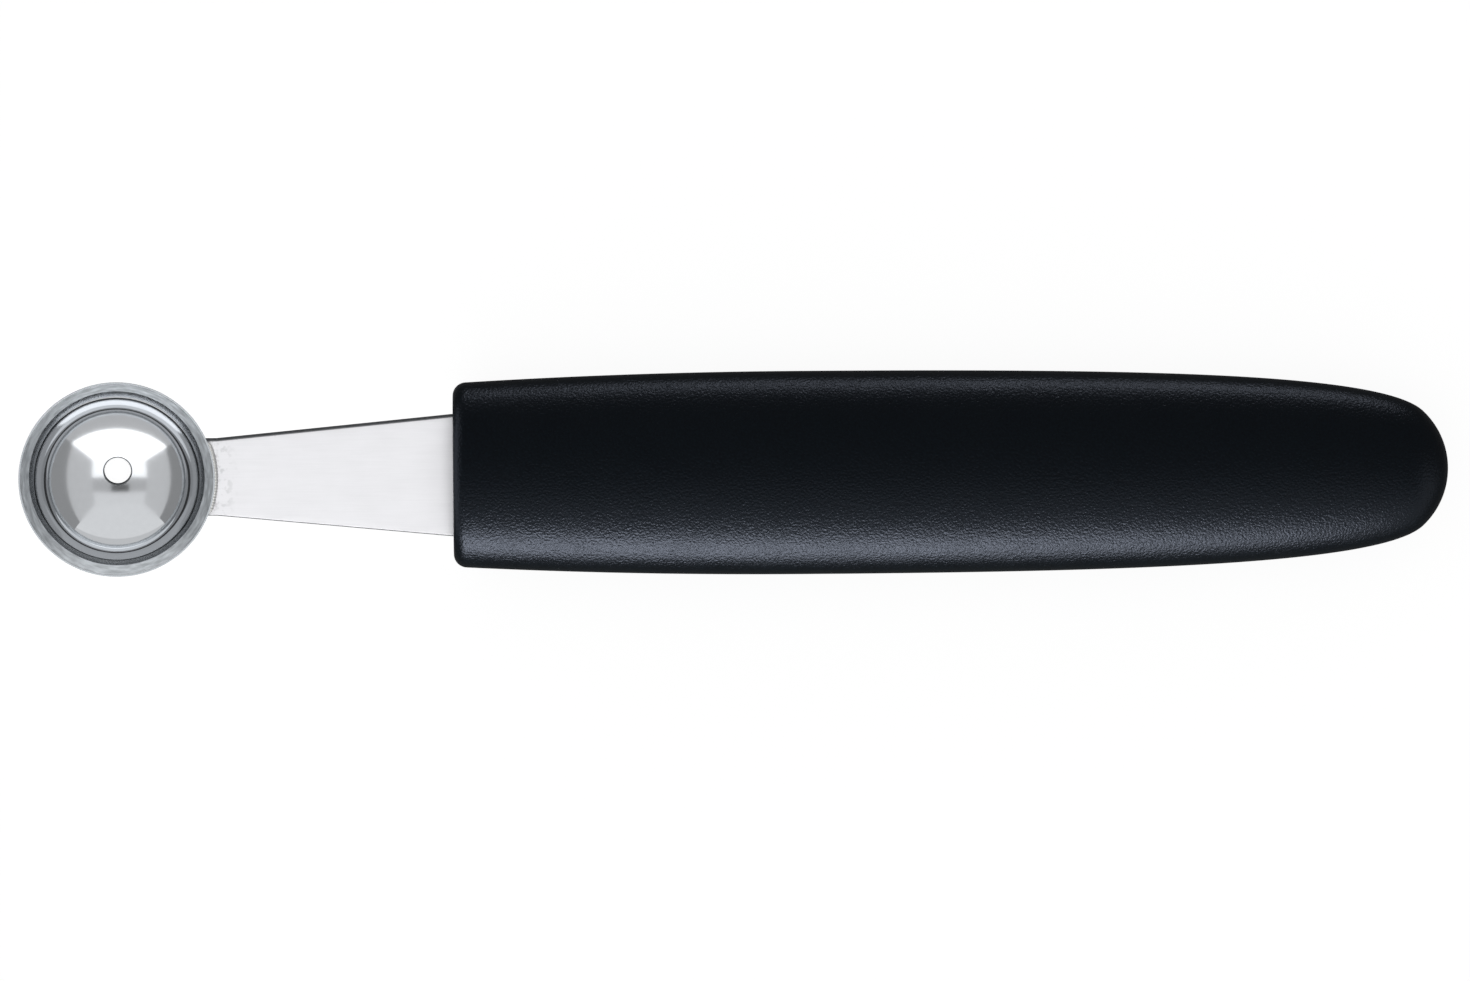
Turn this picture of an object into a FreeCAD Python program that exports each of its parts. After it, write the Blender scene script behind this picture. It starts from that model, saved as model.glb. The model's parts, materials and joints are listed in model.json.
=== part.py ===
"""Melon baller: a round scoop welded to a flat tapered shank, whose tang is moulded into an oval handle.

The tool lies on its back with the scoop open upwards. X runs from the scoop to the butt of the handle, Y runs
across the tool and Z points up. The origin is on the table, under the middle of the tool. Lengths are in
millimetres and angles in degrees.
"""

import FreeCAD
import Part

import math
import os

from FreeCAD import Vector

# Scoop
SCOOP_DIAMETER = 22.0  # outside, at the rim
SCOOP_WALL = 0.9
BOWL_HALF_DEPTH = 7.75  # from the widest level of the bowl's oval section down to its inside bottom
RIM_UNDER_EQUATOR = 1.0  # how far below that widest level the rim is cut
RIM_LAND = 0.2  # flat ring left on the cutting edge
RIM_BEVEL_HEIGHT = 1.0  # inside bevel that sharpens the rim
VENT_DIAMETER = 3.0  # air hole that lets the ball drop out

# Shank, the bare strip between the scoop and the handle
SHANK_LENGTH = 26.6
SHANK_THICKNESS = 2.0
SHANK_TIP_WIDTH = 8.5  # at the scoop's wall
SHANK_ROOT_WIDTH = 13.6  # at the handle
SHANK_EDGE_ROUND = 0.2
RIM_ABOVE_SHANK = 0.6

# Tang, the same strip inside the handle
TANG_SHOULDER_DEPTH = 5.0  # full-width stretch behind the handle's front face
TANG_WIDTH = 9.0
TANG_LENGTH = 74.0
KEY_HOLE_DIAMETER = 5.0  # the moulding runs through these and locks the tang
KEY_HOLE_COUNT = 2
KEY_HOLE_FIRST = 26.0  # from the handle's front face
KEY_HOLE_PITCH = 28.0

# Weld between scoop and shank
WELD_LEG = 0.45

# Handle
HANDLE_LENGTH = 111.2
HANDLE_WIDTH = 22.9  # at the belly
HANDLE_THICKNESS = 12.0  # at the belly
HANDLE_BELLY = 38.5  # widest place, from the front face
HANDLE_FRONT_TAPER = 1.1  # how much each side draws in from the belly to the front
HANDLE_FRONT_ROUND = 1.5
BUTT_RADIUS = 8.9
BUTT_JOINT_ANGLE = 43.0  # where the flank runs into the butt, from square across the tool
BELLY_PULL_SHARE = 0.54  # how far the belly's direction carries along the flank
BUTT_PULL_SHARE = 0.09  # how far the butt's direction carries back along the flank

# Sizes and places that follow from the values above
SCOOP_RADIUS = SCOOP_DIAMETER / 2
SHELL_HALF_DEPTH = BOWL_HALF_DEPTH + SCOOP_WALL
SHELL_HALF_WIDTH = SCOOP_RADIUS / math.sqrt(1 - (RIM_UNDER_EQUATOR / SHELL_HALF_DEPTH) ** 2)
BOWL_HALF_WIDTH = SHELL_HALF_WIDTH - SCOOP_WALL
INSIDE_SHELL = SCOOP_RADIUS / 2  # well under the scoop's outer surface, where pieces cut to it start
VENT_RADIUS = VENT_DIAMETER / 2
OVERALL_LENGTH = SCOOP_DIAMETER + SHANK_LENGTH + HANDLE_LENGTH
SCOOP_X = SCOOP_RADIUS - OVERALL_LENGTH / 2
SHANK_TIP_X = SCOOP_X + SCOOP_RADIUS
HANDLE_X = SHANK_TIP_X + SHANK_LENGTH
# The strip runs through the middle of the handle, and the lower of handle and scoop rests on the table
STRIP_UNDER_EQUATOR = RIM_UNDER_EQUATOR + RIM_ABOVE_SHANK + SHANK_THICKNESS / 2
VENT_UNDER_EQUATOR = SHELL_HALF_DEPTH * math.sqrt(1 - (VENT_RADIUS / SHELL_HALF_WIDTH) ** 2)
HANDLE_AXIS_Z = max(HANDLE_THICKNESS / 2, VENT_UNDER_EQUATOR - STRIP_UNDER_EQUATOR)
SHANK_BOTTOM_Z = HANDLE_AXIS_Z - SHANK_THICKNESS / 2
SHANK_TOP_Z = SHANK_BOTTOM_Z + SHANK_THICKNESS
EQUATOR_Z = HANDLE_AXIS_Z + STRIP_UNDER_EQUATOR
RIM_Z = EQUATOR_Z - RIM_UNDER_EQUATOR

TOP = Vector(0, 0, 1)
FORWARD = Vector(1, 0, 0)
FULL_TURN = 360


def line(start, end):
    """A straight edge."""
    return Part.LineSegment(start, end).toShape()


def arc_about(centre, radius, start_direction, end_direction):
    """An arc of under a half circle round a centre, between two unit directions."""
    middle_direction = (start_direction + end_direction).normalize()
    ends_and_middle = [start_direction, middle_direction, end_direction]
    return Part.Arc(*[centre + direction * radius for direction in ends_and_middle]).toShape()


def scoop_point(radius, height):
    """Point of the scoop's section, by its distance from the scoop's axis and its height."""
    return Vector(SCOOP_X + radius, 0, height)


def turn_about_scoop(section):
    """Solid that a closed section makes when it turns about the scoop's axis."""
    return Part.Face(section).revolve(Vector(SCOOP_X, 0, 0), TOP, FULL_TURN)


def level_radius(half_width, half_depth, height):
    """Radius of one of the scoop's ovals at a height of the tool."""
    return half_width * math.sqrt(1 - ((EQUATOR_Z - height) / half_depth) ** 2)


def shell_radius(height):
    """Outer radius of the scoop at a height of the tool."""
    return level_radius(SHELL_HALF_WIDTH, SHELL_HALF_DEPTH, height)


def oval_arc(half_width, half_depth, start, end):
    """Arc of one of the scoop's ovals between two points of its section, the first one higher."""
    equator_end = scoop_point(half_width, EQUATOR_Z)
    lowest = scoop_point(0, EQUATOR_Z - half_depth)
    oval = Part.Ellipse(equator_end, lowest, scoop_point(0, EQUATOR_Z))
    return Part.ArcOfEllipse(oval, oval.parameter(start), oval.parameter(end)).toShape()


def make_scoop_bowl():
    """Oval-bottomed shell with a vent hole and a rim that is bevelled inside to a cutting edge."""
    bevel_foot_z = RIM_Z - RIM_BEVEL_HEIGHT
    vent_inside_z = EQUATOR_Z - BOWL_HALF_DEPTH * math.sqrt(1 - (VENT_RADIUS / BOWL_HALF_WIDTH) ** 2)

    rim_edge = scoop_point(SCOOP_RADIUS, RIM_Z)
    land_edge = scoop_point(SCOOP_RADIUS - RIM_LAND, RIM_Z)
    bevel_foot = scoop_point(level_radius(BOWL_HALF_WIDTH, BOWL_HALF_DEPTH, bevel_foot_z), bevel_foot_z)
    vent_inside = scoop_point(VENT_RADIUS, vent_inside_z)
    vent_outside = scoop_point(VENT_RADIUS, EQUATOR_Z - VENT_UNDER_EQUATOR)

    section = Part.Wire(
        [
            line(rim_edge, land_edge),
            line(land_edge, bevel_foot),
            oval_arc(BOWL_HALF_WIDTH, BOWL_HALF_DEPTH, bevel_foot, vent_inside),
            line(vent_inside, vent_outside),
            oval_arc(SHELL_HALF_WIDTH, SHELL_HALF_DEPTH, rim_edge, vent_outside),
        ]
    )
    return turn_about_scoop(section)


def filled_shell():
    """Solid of all the space inside the scoop's outer surface, below its widest level."""
    equator_end = scoop_point(SHELL_HALF_WIDTH, EQUATOR_Z)
    lowest = scoop_point(0, EQUATOR_Z - SHELL_HALF_DEPTH)
    middle = scoop_point(0, EQUATOR_Z)
    arc = oval_arc(SHELL_HALF_WIDTH, SHELL_HALF_DEPTH, equator_end, lowest)
    return turn_about_scoop(Part.Wire([line(middle, equator_end), arc, line(lowest, middle)]))


def shank_half_width(x):
    """Half of the strip's width on its straight taper, which runs on into the handle and the scoop."""
    along = (x - SHANK_TIP_X) / SHANK_LENGTH
    return (SHANK_TIP_WIDTH + along * (SHANK_ROOT_WIDTH - SHANK_TIP_WIDTH)) / 2


def taper_corners(start_x, end_x, inset=0):
    """Corners of the taper between two stations, in order round its outline."""
    start_half = shank_half_width(start_x) - inset
    end_half = shank_half_width(end_x) - inset
    return [
        Vector(start_x, -start_half, 0),
        Vector(end_x, -end_half, 0),
        Vector(end_x, end_half, 0),
        Vector(start_x, start_half, 0),
    ]


def strip_outline(start_x, shoulder_x):
    """Plan of the stamped strip: the taper, sloping shoulders, and a tang with a round end."""
    tang_half = TANG_WIDTH / 2
    tang_start_x = shoulder_x + abs(shank_half_width(shoulder_x) - tang_half)
    tang_end_centre = Vector(HANDLE_X + TANG_LENGTH - tang_half, 0, 0)

    tip_right, shoulder_right, shoulder_left, tip_left = taper_corners(start_x, shoulder_x)
    tang_right = Vector(tang_start_x, -tang_half, 0)
    tang_left = Vector(tang_start_x, tang_half, 0)
    end_right = tang_end_centre - Vector(0, tang_half, 0)
    end_left = tang_end_centre + Vector(0, tang_half, 0)
    tang_end = tang_end_centre + FORWARD * tang_half

    return Part.Wire(
        [
            line(tip_left, tip_right),
            line(tip_right, shoulder_right),
            line(shoulder_right, tang_right),
            line(tang_right, end_right),
            Part.Arc(end_right, tang_end, end_left).toShape(),
            line(end_left, tang_left),
            line(tang_left, shoulder_left),
            line(shoulder_left, tip_left),
        ]
    )


def is_taper_edge(edge):
    """True for the long edges of the taper's upper and lower faces."""
    first, last = (vertex.Point for vertex in (edge.Vertexes[0], edge.Vertexes[-1]))
    level = math.isclose(first.z, last.z, abs_tol=Part.Precision.confusion())
    same_side = first.y * last.y > 0
    on_taper = all(
        math.isclose(abs(point.y), shank_half_width(point.x), abs_tol=Part.Precision.confusion())
        for point in (first, last)
    )
    return level and same_side and on_taper


def make_shank():
    """Stamped strip with rounded edges, key holes in its tang and an end cut to the scoop's wall."""
    start_x = SCOOP_X + INSIDE_SHELL
    shoulder_x = HANDLE_X + TANG_SHOULDER_DEPTH
    outline = Part.Face(strip_outline(start_x, shoulder_x))
    strip = outline.extrude(TOP * SHANK_THICKNESS)
    strip.translate(TOP * SHANK_BOTTOM_Z)
    strip = strip.makeFillet(SHANK_EDGE_ROUND, [edge for edge in strip.Edges if is_taper_edge(edge)])

    for number in range(KEY_HOLE_COUNT):
        hole_x = HANDLE_X + KEY_HOLE_FIRST + number * KEY_HOLE_PITCH
        hole_foot = Vector(hole_x, 0, SHANK_BOTTOM_Z)
        hole = Part.makeCylinder(KEY_HOLE_DIAMETER / 2, SHANK_THICKNESS, hole_foot, TOP)
        strip = strip.cut(hole)
    return strip.cut(filled_shell())


def weld_bead(face_z, away):
    """Weld between the scoop's wall and one face of the shank; away is 1 above the face and -1 below."""
    foot_z = face_z + away * WELD_LEG
    toe_radius = shell_radius(face_z) + WELD_LEG
    section = Part.makePolygon(
        [
            scoop_point(INSIDE_SHELL, face_z),
            scoop_point(toe_radius, face_z),
            scoop_point(shell_radius(foot_z), foot_z),
            scoop_point(INSIDE_SHELL, foot_z),
            scoop_point(INSIDE_SHELL, face_z),
        ]
    )
    ring = turn_about_scoop(section)
    corners = taper_corners(SCOOP_X, HANDLE_X, inset=SHANK_EDGE_ROUND)
    flat_of_shank = Part.Face(Part.makePolygon(corners + corners[:1])).extrude(TOP * SCOOP_DIAMETER)
    return ring.common(flat_of_shank).cut(filled_shell())


def make_weld_seam():
    """Weld beads above and below the shank's end."""
    return Part.makeCompound([weld_bead(SHANK_TOP_Z, 1), weld_bead(SHANK_BOTTOM_Z, -1)])


def handle_flank():
    """Edges of the handle's plan outline on one side, from its front face to the tip of the butt."""
    half_width = HANDLE_WIDTH / 2
    across = Vector(0, 1, 0)
    belly_radius = (HANDLE_BELLY**2 + HANDLE_FRONT_TAPER**2) / (2 * HANDLE_FRONT_TAPER)
    belly_top = Vector(HANDLE_BELLY, half_width, 0)
    belly_centre = belly_top - across * belly_radius

    # The front round touches the front face and the inside of the belly arc
    reach_x = HANDLE_FRONT_ROUND - HANDLE_BELLY
    reach_y = math.sqrt((belly_radius - HANDLE_FRONT_ROUND) ** 2 - reach_x**2)
    front_centre = belly_centre + Vector(reach_x, reach_y, 0)
    round_end = Vector(reach_x, reach_y, 0).normalize()

    butt_centre = Vector(HANDLE_LENGTH - BUTT_RADIUS, 0, 0)
    joint_angle = math.radians(BUTT_JOINT_ANGLE)
    joint_direction = Vector(math.sin(joint_angle), math.cos(joint_angle), 0)
    joint_heading = Vector(joint_direction.y, -joint_direction.x, 0)
    butt_joint = butt_centre + joint_direction * BUTT_RADIUS

    flank_run = butt_joint.x - belly_top.x
    flank = Part.BezierCurve()
    flank.setPoles(
        [
            belly_top,
            belly_top + FORWARD * (BELLY_PULL_SHARE * flank_run),
            butt_joint - joint_heading * (BUTT_PULL_SHARE * flank_run),
            butt_joint,
        ]
    )
    return [
        arc_about(front_centre, HANDLE_FRONT_ROUND, -FORWARD, round_end),
        arc_about(belly_centre, belly_radius, round_end, across),
        flank.toShape(),
        arc_about(butt_centre, BUTT_RADIUS, joint_direction, FORWARD),
    ]


def make_handle_body():
    """Solid oval handle: its flank turned about the long axis, flattened and closed in front."""
    skin = Part.Wire(handle_flank()).revolve(Vector(), FORWARD, FULL_TURN)
    flatten = FreeCAD.Matrix()
    flatten.scale(1, 1, HANDLE_THICKNESS / HANDLE_WIDTH)
    skin = skin.transformGeometry(flatten)
    skin.translate(Vector(HANDLE_X, 0, HANDLE_AXIS_Z))
    front_edge = min(skin.Edges, key=lambda edge: edge.BoundBox.XMax)
    front_face = Part.Face(Part.Wire([front_edge]))
    if front_face.normalAt(0, 0).dot(FORWARD) > 0:
        front_face.reverse()
    return Part.makeSolid(Part.makeShell(skin.Faces + [front_face]))


def make_handle(shank):
    """Handle moulded round the tang: it fills the key holes and fits the strip all over."""
    return make_handle_body().cut(shank)


def main():
    shank = make_shank()
    pieces = {
        "scoop_bowl": make_scoop_bowl(),
        "shank": shank,
        "weld_seam": make_weld_seam(),
        "handle": make_handle(shank),
    }
    os.makedirs("parts", exist_ok=True)
    for name, shape in pieces.items():
        shape.exportStep(f"parts/{name}.step")
        print(name, "valid", shape.isValid(), "solids", len(shape.Solids), "volume", round(shape.Volume, 2))


main()
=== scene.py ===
"""Dresses a melon baller: a polished scoop, a satin shank, a weld and a black handle, in a plain light tent.

Lengths are in metres and angles in radians. X runs from the scoop to the butt of the handle, Y across the
tool and Z up out of the scoop.
"""
import json
import math

import bmesh
import bpy
from bpy.props import FloatProperty, FloatVectorProperty, IntProperty, PointerProperty
from mathutils import Matrix, Vector


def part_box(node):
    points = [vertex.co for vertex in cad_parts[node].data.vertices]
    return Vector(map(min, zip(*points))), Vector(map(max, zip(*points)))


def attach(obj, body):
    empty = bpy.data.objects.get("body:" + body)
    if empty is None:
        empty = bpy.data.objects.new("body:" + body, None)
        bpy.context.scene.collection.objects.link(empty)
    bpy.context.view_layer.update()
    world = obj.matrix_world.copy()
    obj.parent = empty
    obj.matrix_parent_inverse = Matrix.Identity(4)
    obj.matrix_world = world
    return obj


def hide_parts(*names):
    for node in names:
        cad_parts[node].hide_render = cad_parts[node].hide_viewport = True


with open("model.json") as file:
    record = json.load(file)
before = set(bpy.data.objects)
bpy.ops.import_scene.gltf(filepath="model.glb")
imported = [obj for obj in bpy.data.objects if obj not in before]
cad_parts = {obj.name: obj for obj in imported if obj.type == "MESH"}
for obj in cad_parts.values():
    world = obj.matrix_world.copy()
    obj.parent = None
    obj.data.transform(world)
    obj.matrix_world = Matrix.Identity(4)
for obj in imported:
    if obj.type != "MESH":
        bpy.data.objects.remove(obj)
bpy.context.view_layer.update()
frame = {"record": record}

bl_info = {
    "name": "Melon Baller",
    "version": (1, 0, 0),
    "blender": (4, 5, 0),
    "location": "View3D > Sidebar > Baller",
    "description": "Builds a melon baller piece by piece and lights it in a plain tent",
    "category": "Add Mesh",
}

BODY = "root"
MOUNTS = {mount["name"]: mount for mount in frame["record"]["mounts"]}
SCOOP_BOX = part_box("scoop_bowl")
SHANK_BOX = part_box("shank")
HANDLE_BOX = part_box("handle")
VENT = MOUNTS["vent_hole"]
FULL_TURN = 2 * math.pi
QUARTER_TURN = math.pi / 2

# Most of a noise's values lie in this range.
NOISE_MIDDLE = (0.3, 0.7)

# Colour sockets of a Mix node, whose names its other sockets share.
MIX_FIRST, MIX_SECOND, MIX_RESULT = 6, 7, 2

# Polish: haze over the pressed metal, waves of the press tool and scratches.
HAZE_GRAIN, HAZE_SPREAD = 0.0006, 0.03
WAVE_GRAIN, WAVE_DEPTH = 0.003, 0.0000016
SCRATCH_GRAIN, SCRATCH_DEPTH = 0.00025, 0.00000035

# Ground rim: streaks round the axis, with the metres that one radian of them takes up in their noise.
STREAK_GRAIN, STREAK_SPREAD, STREAK_DEPTH = 0.00026, 0.7, 0.000009
STREAK_METRES_PER_RADIAN = 0.0016
STREAK_ROUGHNESS = (0.32, 0.46)

# Satin strip: rolled grain, clouds, and the weld's specks.
ROLLED_GRAIN, ROLLED_DEPTH = 0.00012, 0.0000012
ROLLED_STRETCH = (0.03, 1, 1)
ROLLED_ROUGHNESS = (0.45, 0.55)
STRIP_CLOUD_GRAIN, STRIP_CLOUD_SPREAD = 0.0025, 0.03
SPECK_GRAIN, SPECK_SHADE = 0.0006, 0.7
SPECK_RANGE = (0.52, 0.64)

# Sheared edges: marks of the punch.
SHEAR_GRAIN, SHEAR_SPREAD, SHEAR_DEPTH = 0.00015, 0.2, 0.000006
SHEAR_STRETCH = (1, 1, 0.08)
SHEAR_ROUGHNESS = (0.4, 0.6)

# Moulding: the mould's sparked skin, and clouds in its gloss.
SPARK_GRAIN, SPARK_SPREAD, SPARK_DEPTH = 0.00026, 0.5, 0.000062
GLOSS_CLOUD_GRAIN = 0.004
GLOSS_ROUGHNESS = (0.27, 0.31)

# Roughness of the polished finishes, from their smoothest places to their dullest.
BOWL_POLISH = (0.03, 0.14)
OUTSIDE_POLISH = (0.1, 0.2)
DULL_POLISH = (0.2, 0.3)
WELD_POLISH = (0.4, 0.55)
FLOOR_ROUGHNESS = 0.9

# Between these shares of the scoop's radius its polish goes from hazed to bright.
BRIGHT_FLANK = (0.55, 0.68)

# Steps along curves, and how a bead's ends close.
WORN_STEPS = 4
BEVEL_STEPS = 8
TANG_STEPS = 8
FRONT_STEPS, BELLY_STEPS, FLANK_STEPS, BUTT_STEPS = 10, 24, 48, 24
BEAD_END_SHARE, BEAD_BLUNTNESS = 0.05, 16

# Clear of a moulding seam, in halves of its width.
SEAM_CLEARANCE = 3

# The camera sees this many times as far as the tool.
CLIP_REACH = 4


def length(name, description, default):
    """A length in metres for a property group."""
    return FloatProperty(
        name=name, description=description, default=default, min=0, unit="LENGTH", precision=5
    )


def place(name, description, default):
    """A coordinate in metres for a property group."""
    return FloatProperty(name=name, description=description, default=default, unit="LENGTH", precision=5)


def angle(name, description, degrees):
    """An angle for a property group, written in degrees and kept in radians."""
    return FloatProperty(name=name, description=description, default=math.radians(degrees), unit="ROTATION")


def share(name, description, default):
    """A share from nought to one for a property group."""
    return FloatProperty(name=name, description=description, default=default, min=0, max=1, subtype="FACTOR")


def level(name, description, default):
    """A light level for a property group: the brightness of the surface, where 1 is white."""
    return FloatProperty(name=name, description=description, default=default, min=0)


def colour(name, description, default):
    """A linear colour for a property group."""
    return FloatVectorProperty(
        name=name, description=description, default=default, size=3, min=0, max=1, subtype="COLOR"
    )


def spot(name, description, default):
    """A place in metres for a property group."""
    return FloatVectorProperty(
        name=name, description=description, default=default, size=3, unit="LENGTH", precision=4
    )


def extent(name, description, default):
    """A length and a height in metres for a property group."""
    return FloatVectorProperty(
        name=name, description=description, default=default, size=2, unit="LENGTH", precision=4
    )


def count(name, description, default):
    """A number of steps for a property group."""
    return IntProperty(name=name, description=description, default=default, min=1)


class ScoopSettings(bpy.types.PropertyGroup):
    """Sizes and finish of the scoop."""

    axis_x: place("Axis", "Where the scoop's axis stands along the tool", VENT["pos_m"][0])
    radius: length("Radius", "Outer radius at the rim", (SCOOP_BOX[1].y - SCOOP_BOX[0].y) / 2)
    rim_z: place("Rim height", "Height of the rim", SCOOP_BOX[1].z)
    vent_radius: length("Vent radius", "Radius of the hole in the bottom", VENT["dims"]["r_mm"] / 1000)
    wall: length("Wall", "Thickness of the shell", 0.0009)
    bowl_half_depth: length("Bowl depth", "From the bowl's widest level down to its bottom", 0.00775)
    rim_under_equator: length("Rim under equator", "How far below the widest level the rim is cut", 0.001)
    land: length("Land", "Width of the flat ring on the cutting edge", 0.0002)
    bevel_height: length("Bevel height", "Height of the bevel that sharpens the rim inside", 0.001)
    edge_round: length("Edge round", "Size of the worn corners along the edges", 0.00005)
    # The ring round the vent takes the punched colour, so this is the width of a painted dark outline round
    # the hole: painted shade.
    vent_shade_ring_width: length("Vent edge", "Width of the dull ring that the punch left round the vent", 0.00014)
    steps_round: count("Steps round", "Steps round the axis", 192)
    steps_up: count("Steps up", "Steps from the vent to the rim", 96)
    # The ring under the bevel takes the dull colour; its darkness is painted shade along the bevel's foot,
    # while its rougher polish is real.
    bevel_shade_ring_width: length("Dull width", "Width of the dull ring that the grinding left under the bevel", 0.0004)
    steel: colour("Steel", "Colour of the polished steel", (0.488, 0.502, 0.52))
    ground_steel: colour("Ground steel", "Colour of the ground rim", (0.53, 0.555, 0.576))
    # The dull colour, on the cutting edge and the ring under the bevel, is about half as bright as the steel:
    # painted shade, with a real rougher polish.
    dull_steel_painted_shade: colour("Dull steel", "Colour of the cutting edge and the ring below", (0.27, 0.285, 0.3))
    # The punched colour, on the vent's wall and the ring round it, is painted shade: far darker than the
    # steel, it draws a dark outline round the hole.
    punched_steel_painted_shade: colour("Punched steel", "Colour of the vent's punched wall", (0.1, 0.105, 0.11))


class ShankSettings(bpy.types.PropertyGroup):
    """Sizes and finish of the strip between scoop and handle, and of its tang."""

    top_z: place("Top", "Height of the upper face", SHANK_BOX[1].z)
    thickness: length("Thickness", "Thickness of the strip", SHANK_BOX[1].z - SHANK_BOX[0].z)
    tip_width: length("Tip width", "Width at the scoop's wall", 0.0085)
    root_width: length("Root width", "Width at the handle", 0.0136)
    edge_round: length("Edge round", "Round along the edges", 0.0002)
    shoulder_depth: length("Shoulder depth", "Full-width stretch inside the handle", 0.005)
    tang_width: length("Tang width", "Width of the tang", 0.009)
    tang_end_x: place("Tang end", "Where the tang ends inside the handle", SHANK_BOX[1].x)
    seat_depth: length("Seat depth", "How far the strip's end is let into the scoop's wall", 0.0004)
    weld_marks: length("Weld marks", "How far from the scoop the weld has left dull specks", 0.0028)
    steps_corner: count("Corner steps", "Steps round each rounded edge", 4)
    steps_across: count("Steps across", "Steps across each flat face", 16)
    steel: colour("Steel", "Colour of the satin steel", (0.52, 0.52, 0.535))
    # The cut edges' colour is painted shade: far darker than the steel, it stands in for the dark
    # surroundings these edges would mirror.
    sheared_steel_painted_shade: colour("Sheared steel", "Colour of the strip's cut edges", (0.15, 0.154, 0.16))


class WeldSettings(bpy.types.PropertyGroup):
    """Sizes and finish of the weld."""

    radius: length("Radius", "Radius of the bead's section", 0.00045)
    ripple: share("Ripple", "How much the bead's radius swells and shrinks", 0.06)
    ripple_count: count("Ripples", "Ripples along one bead", 26)
    steps_along: count("Steps along", "Steps along one bead", 156)
    steps_section: count("Section steps", "Steps round the bead's section", 12)
    steel: colour("Steel", "Colour of the weld", (0.62, 0.62, 0.61))


class HandleSettings(bpy.types.PropertyGroup):
    """Sizes and finish of the handle."""

    front_x: place("Front", "Where the handle's front face stands", MOUNTS["handle_shoulder"]["pos_m"][0])
    length: length("Length", "Length of the handle", HANDLE_BOX[1].x - HANDLE_BOX[0].x)
    width: length("Width", "Width at the belly", HANDLE_BOX[1].y - HANDLE_BOX[0].y)
    thickness: length("Thickness", "Thickness at the belly", HANDLE_BOX[1].z - HANDLE_BOX[0].z)
    belly: length("Belly", "Widest place, from the front face", 0.0385)
    front_taper: length("Front taper", "How much each side draws in towards the front", 0.0011)
    front_round: length("Front round", "Round of the front edge", 0.0015)
    butt_radius: length("Butt radius", "Radius of the butt in plan", 0.0089)
    butt_joint: angle("Butt joint", "Where the flank runs into the butt, from square across the tool", 43)
    belly_pull_share: share("Belly pull", "How far the belly's direction carries along the flank", 0.54)
    butt_pull_share: share("Butt pull", "How far the butt's direction carries back along the flank", 0.09)
    seam_height: length("Seam height", "Height of the fine moulding seam along both sides", 0.00002)
    seam_angle: angle("Seam angle", "Half of the seam's width, round the oval", 0.6)
    slot_gap: length("Slot gap", "Gap between the moulding and the strip", 0.00003)
    steps_round: count("Steps round", "Steps round the oval", 144)
    plastic: colour("Plastic", "Colour of the moulding", (0.0018, 0.0042, 0.0061))
    sheen: colour("Sheen", "Tint of the moulding's gloss", (0.72, 0.8, 1))


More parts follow.
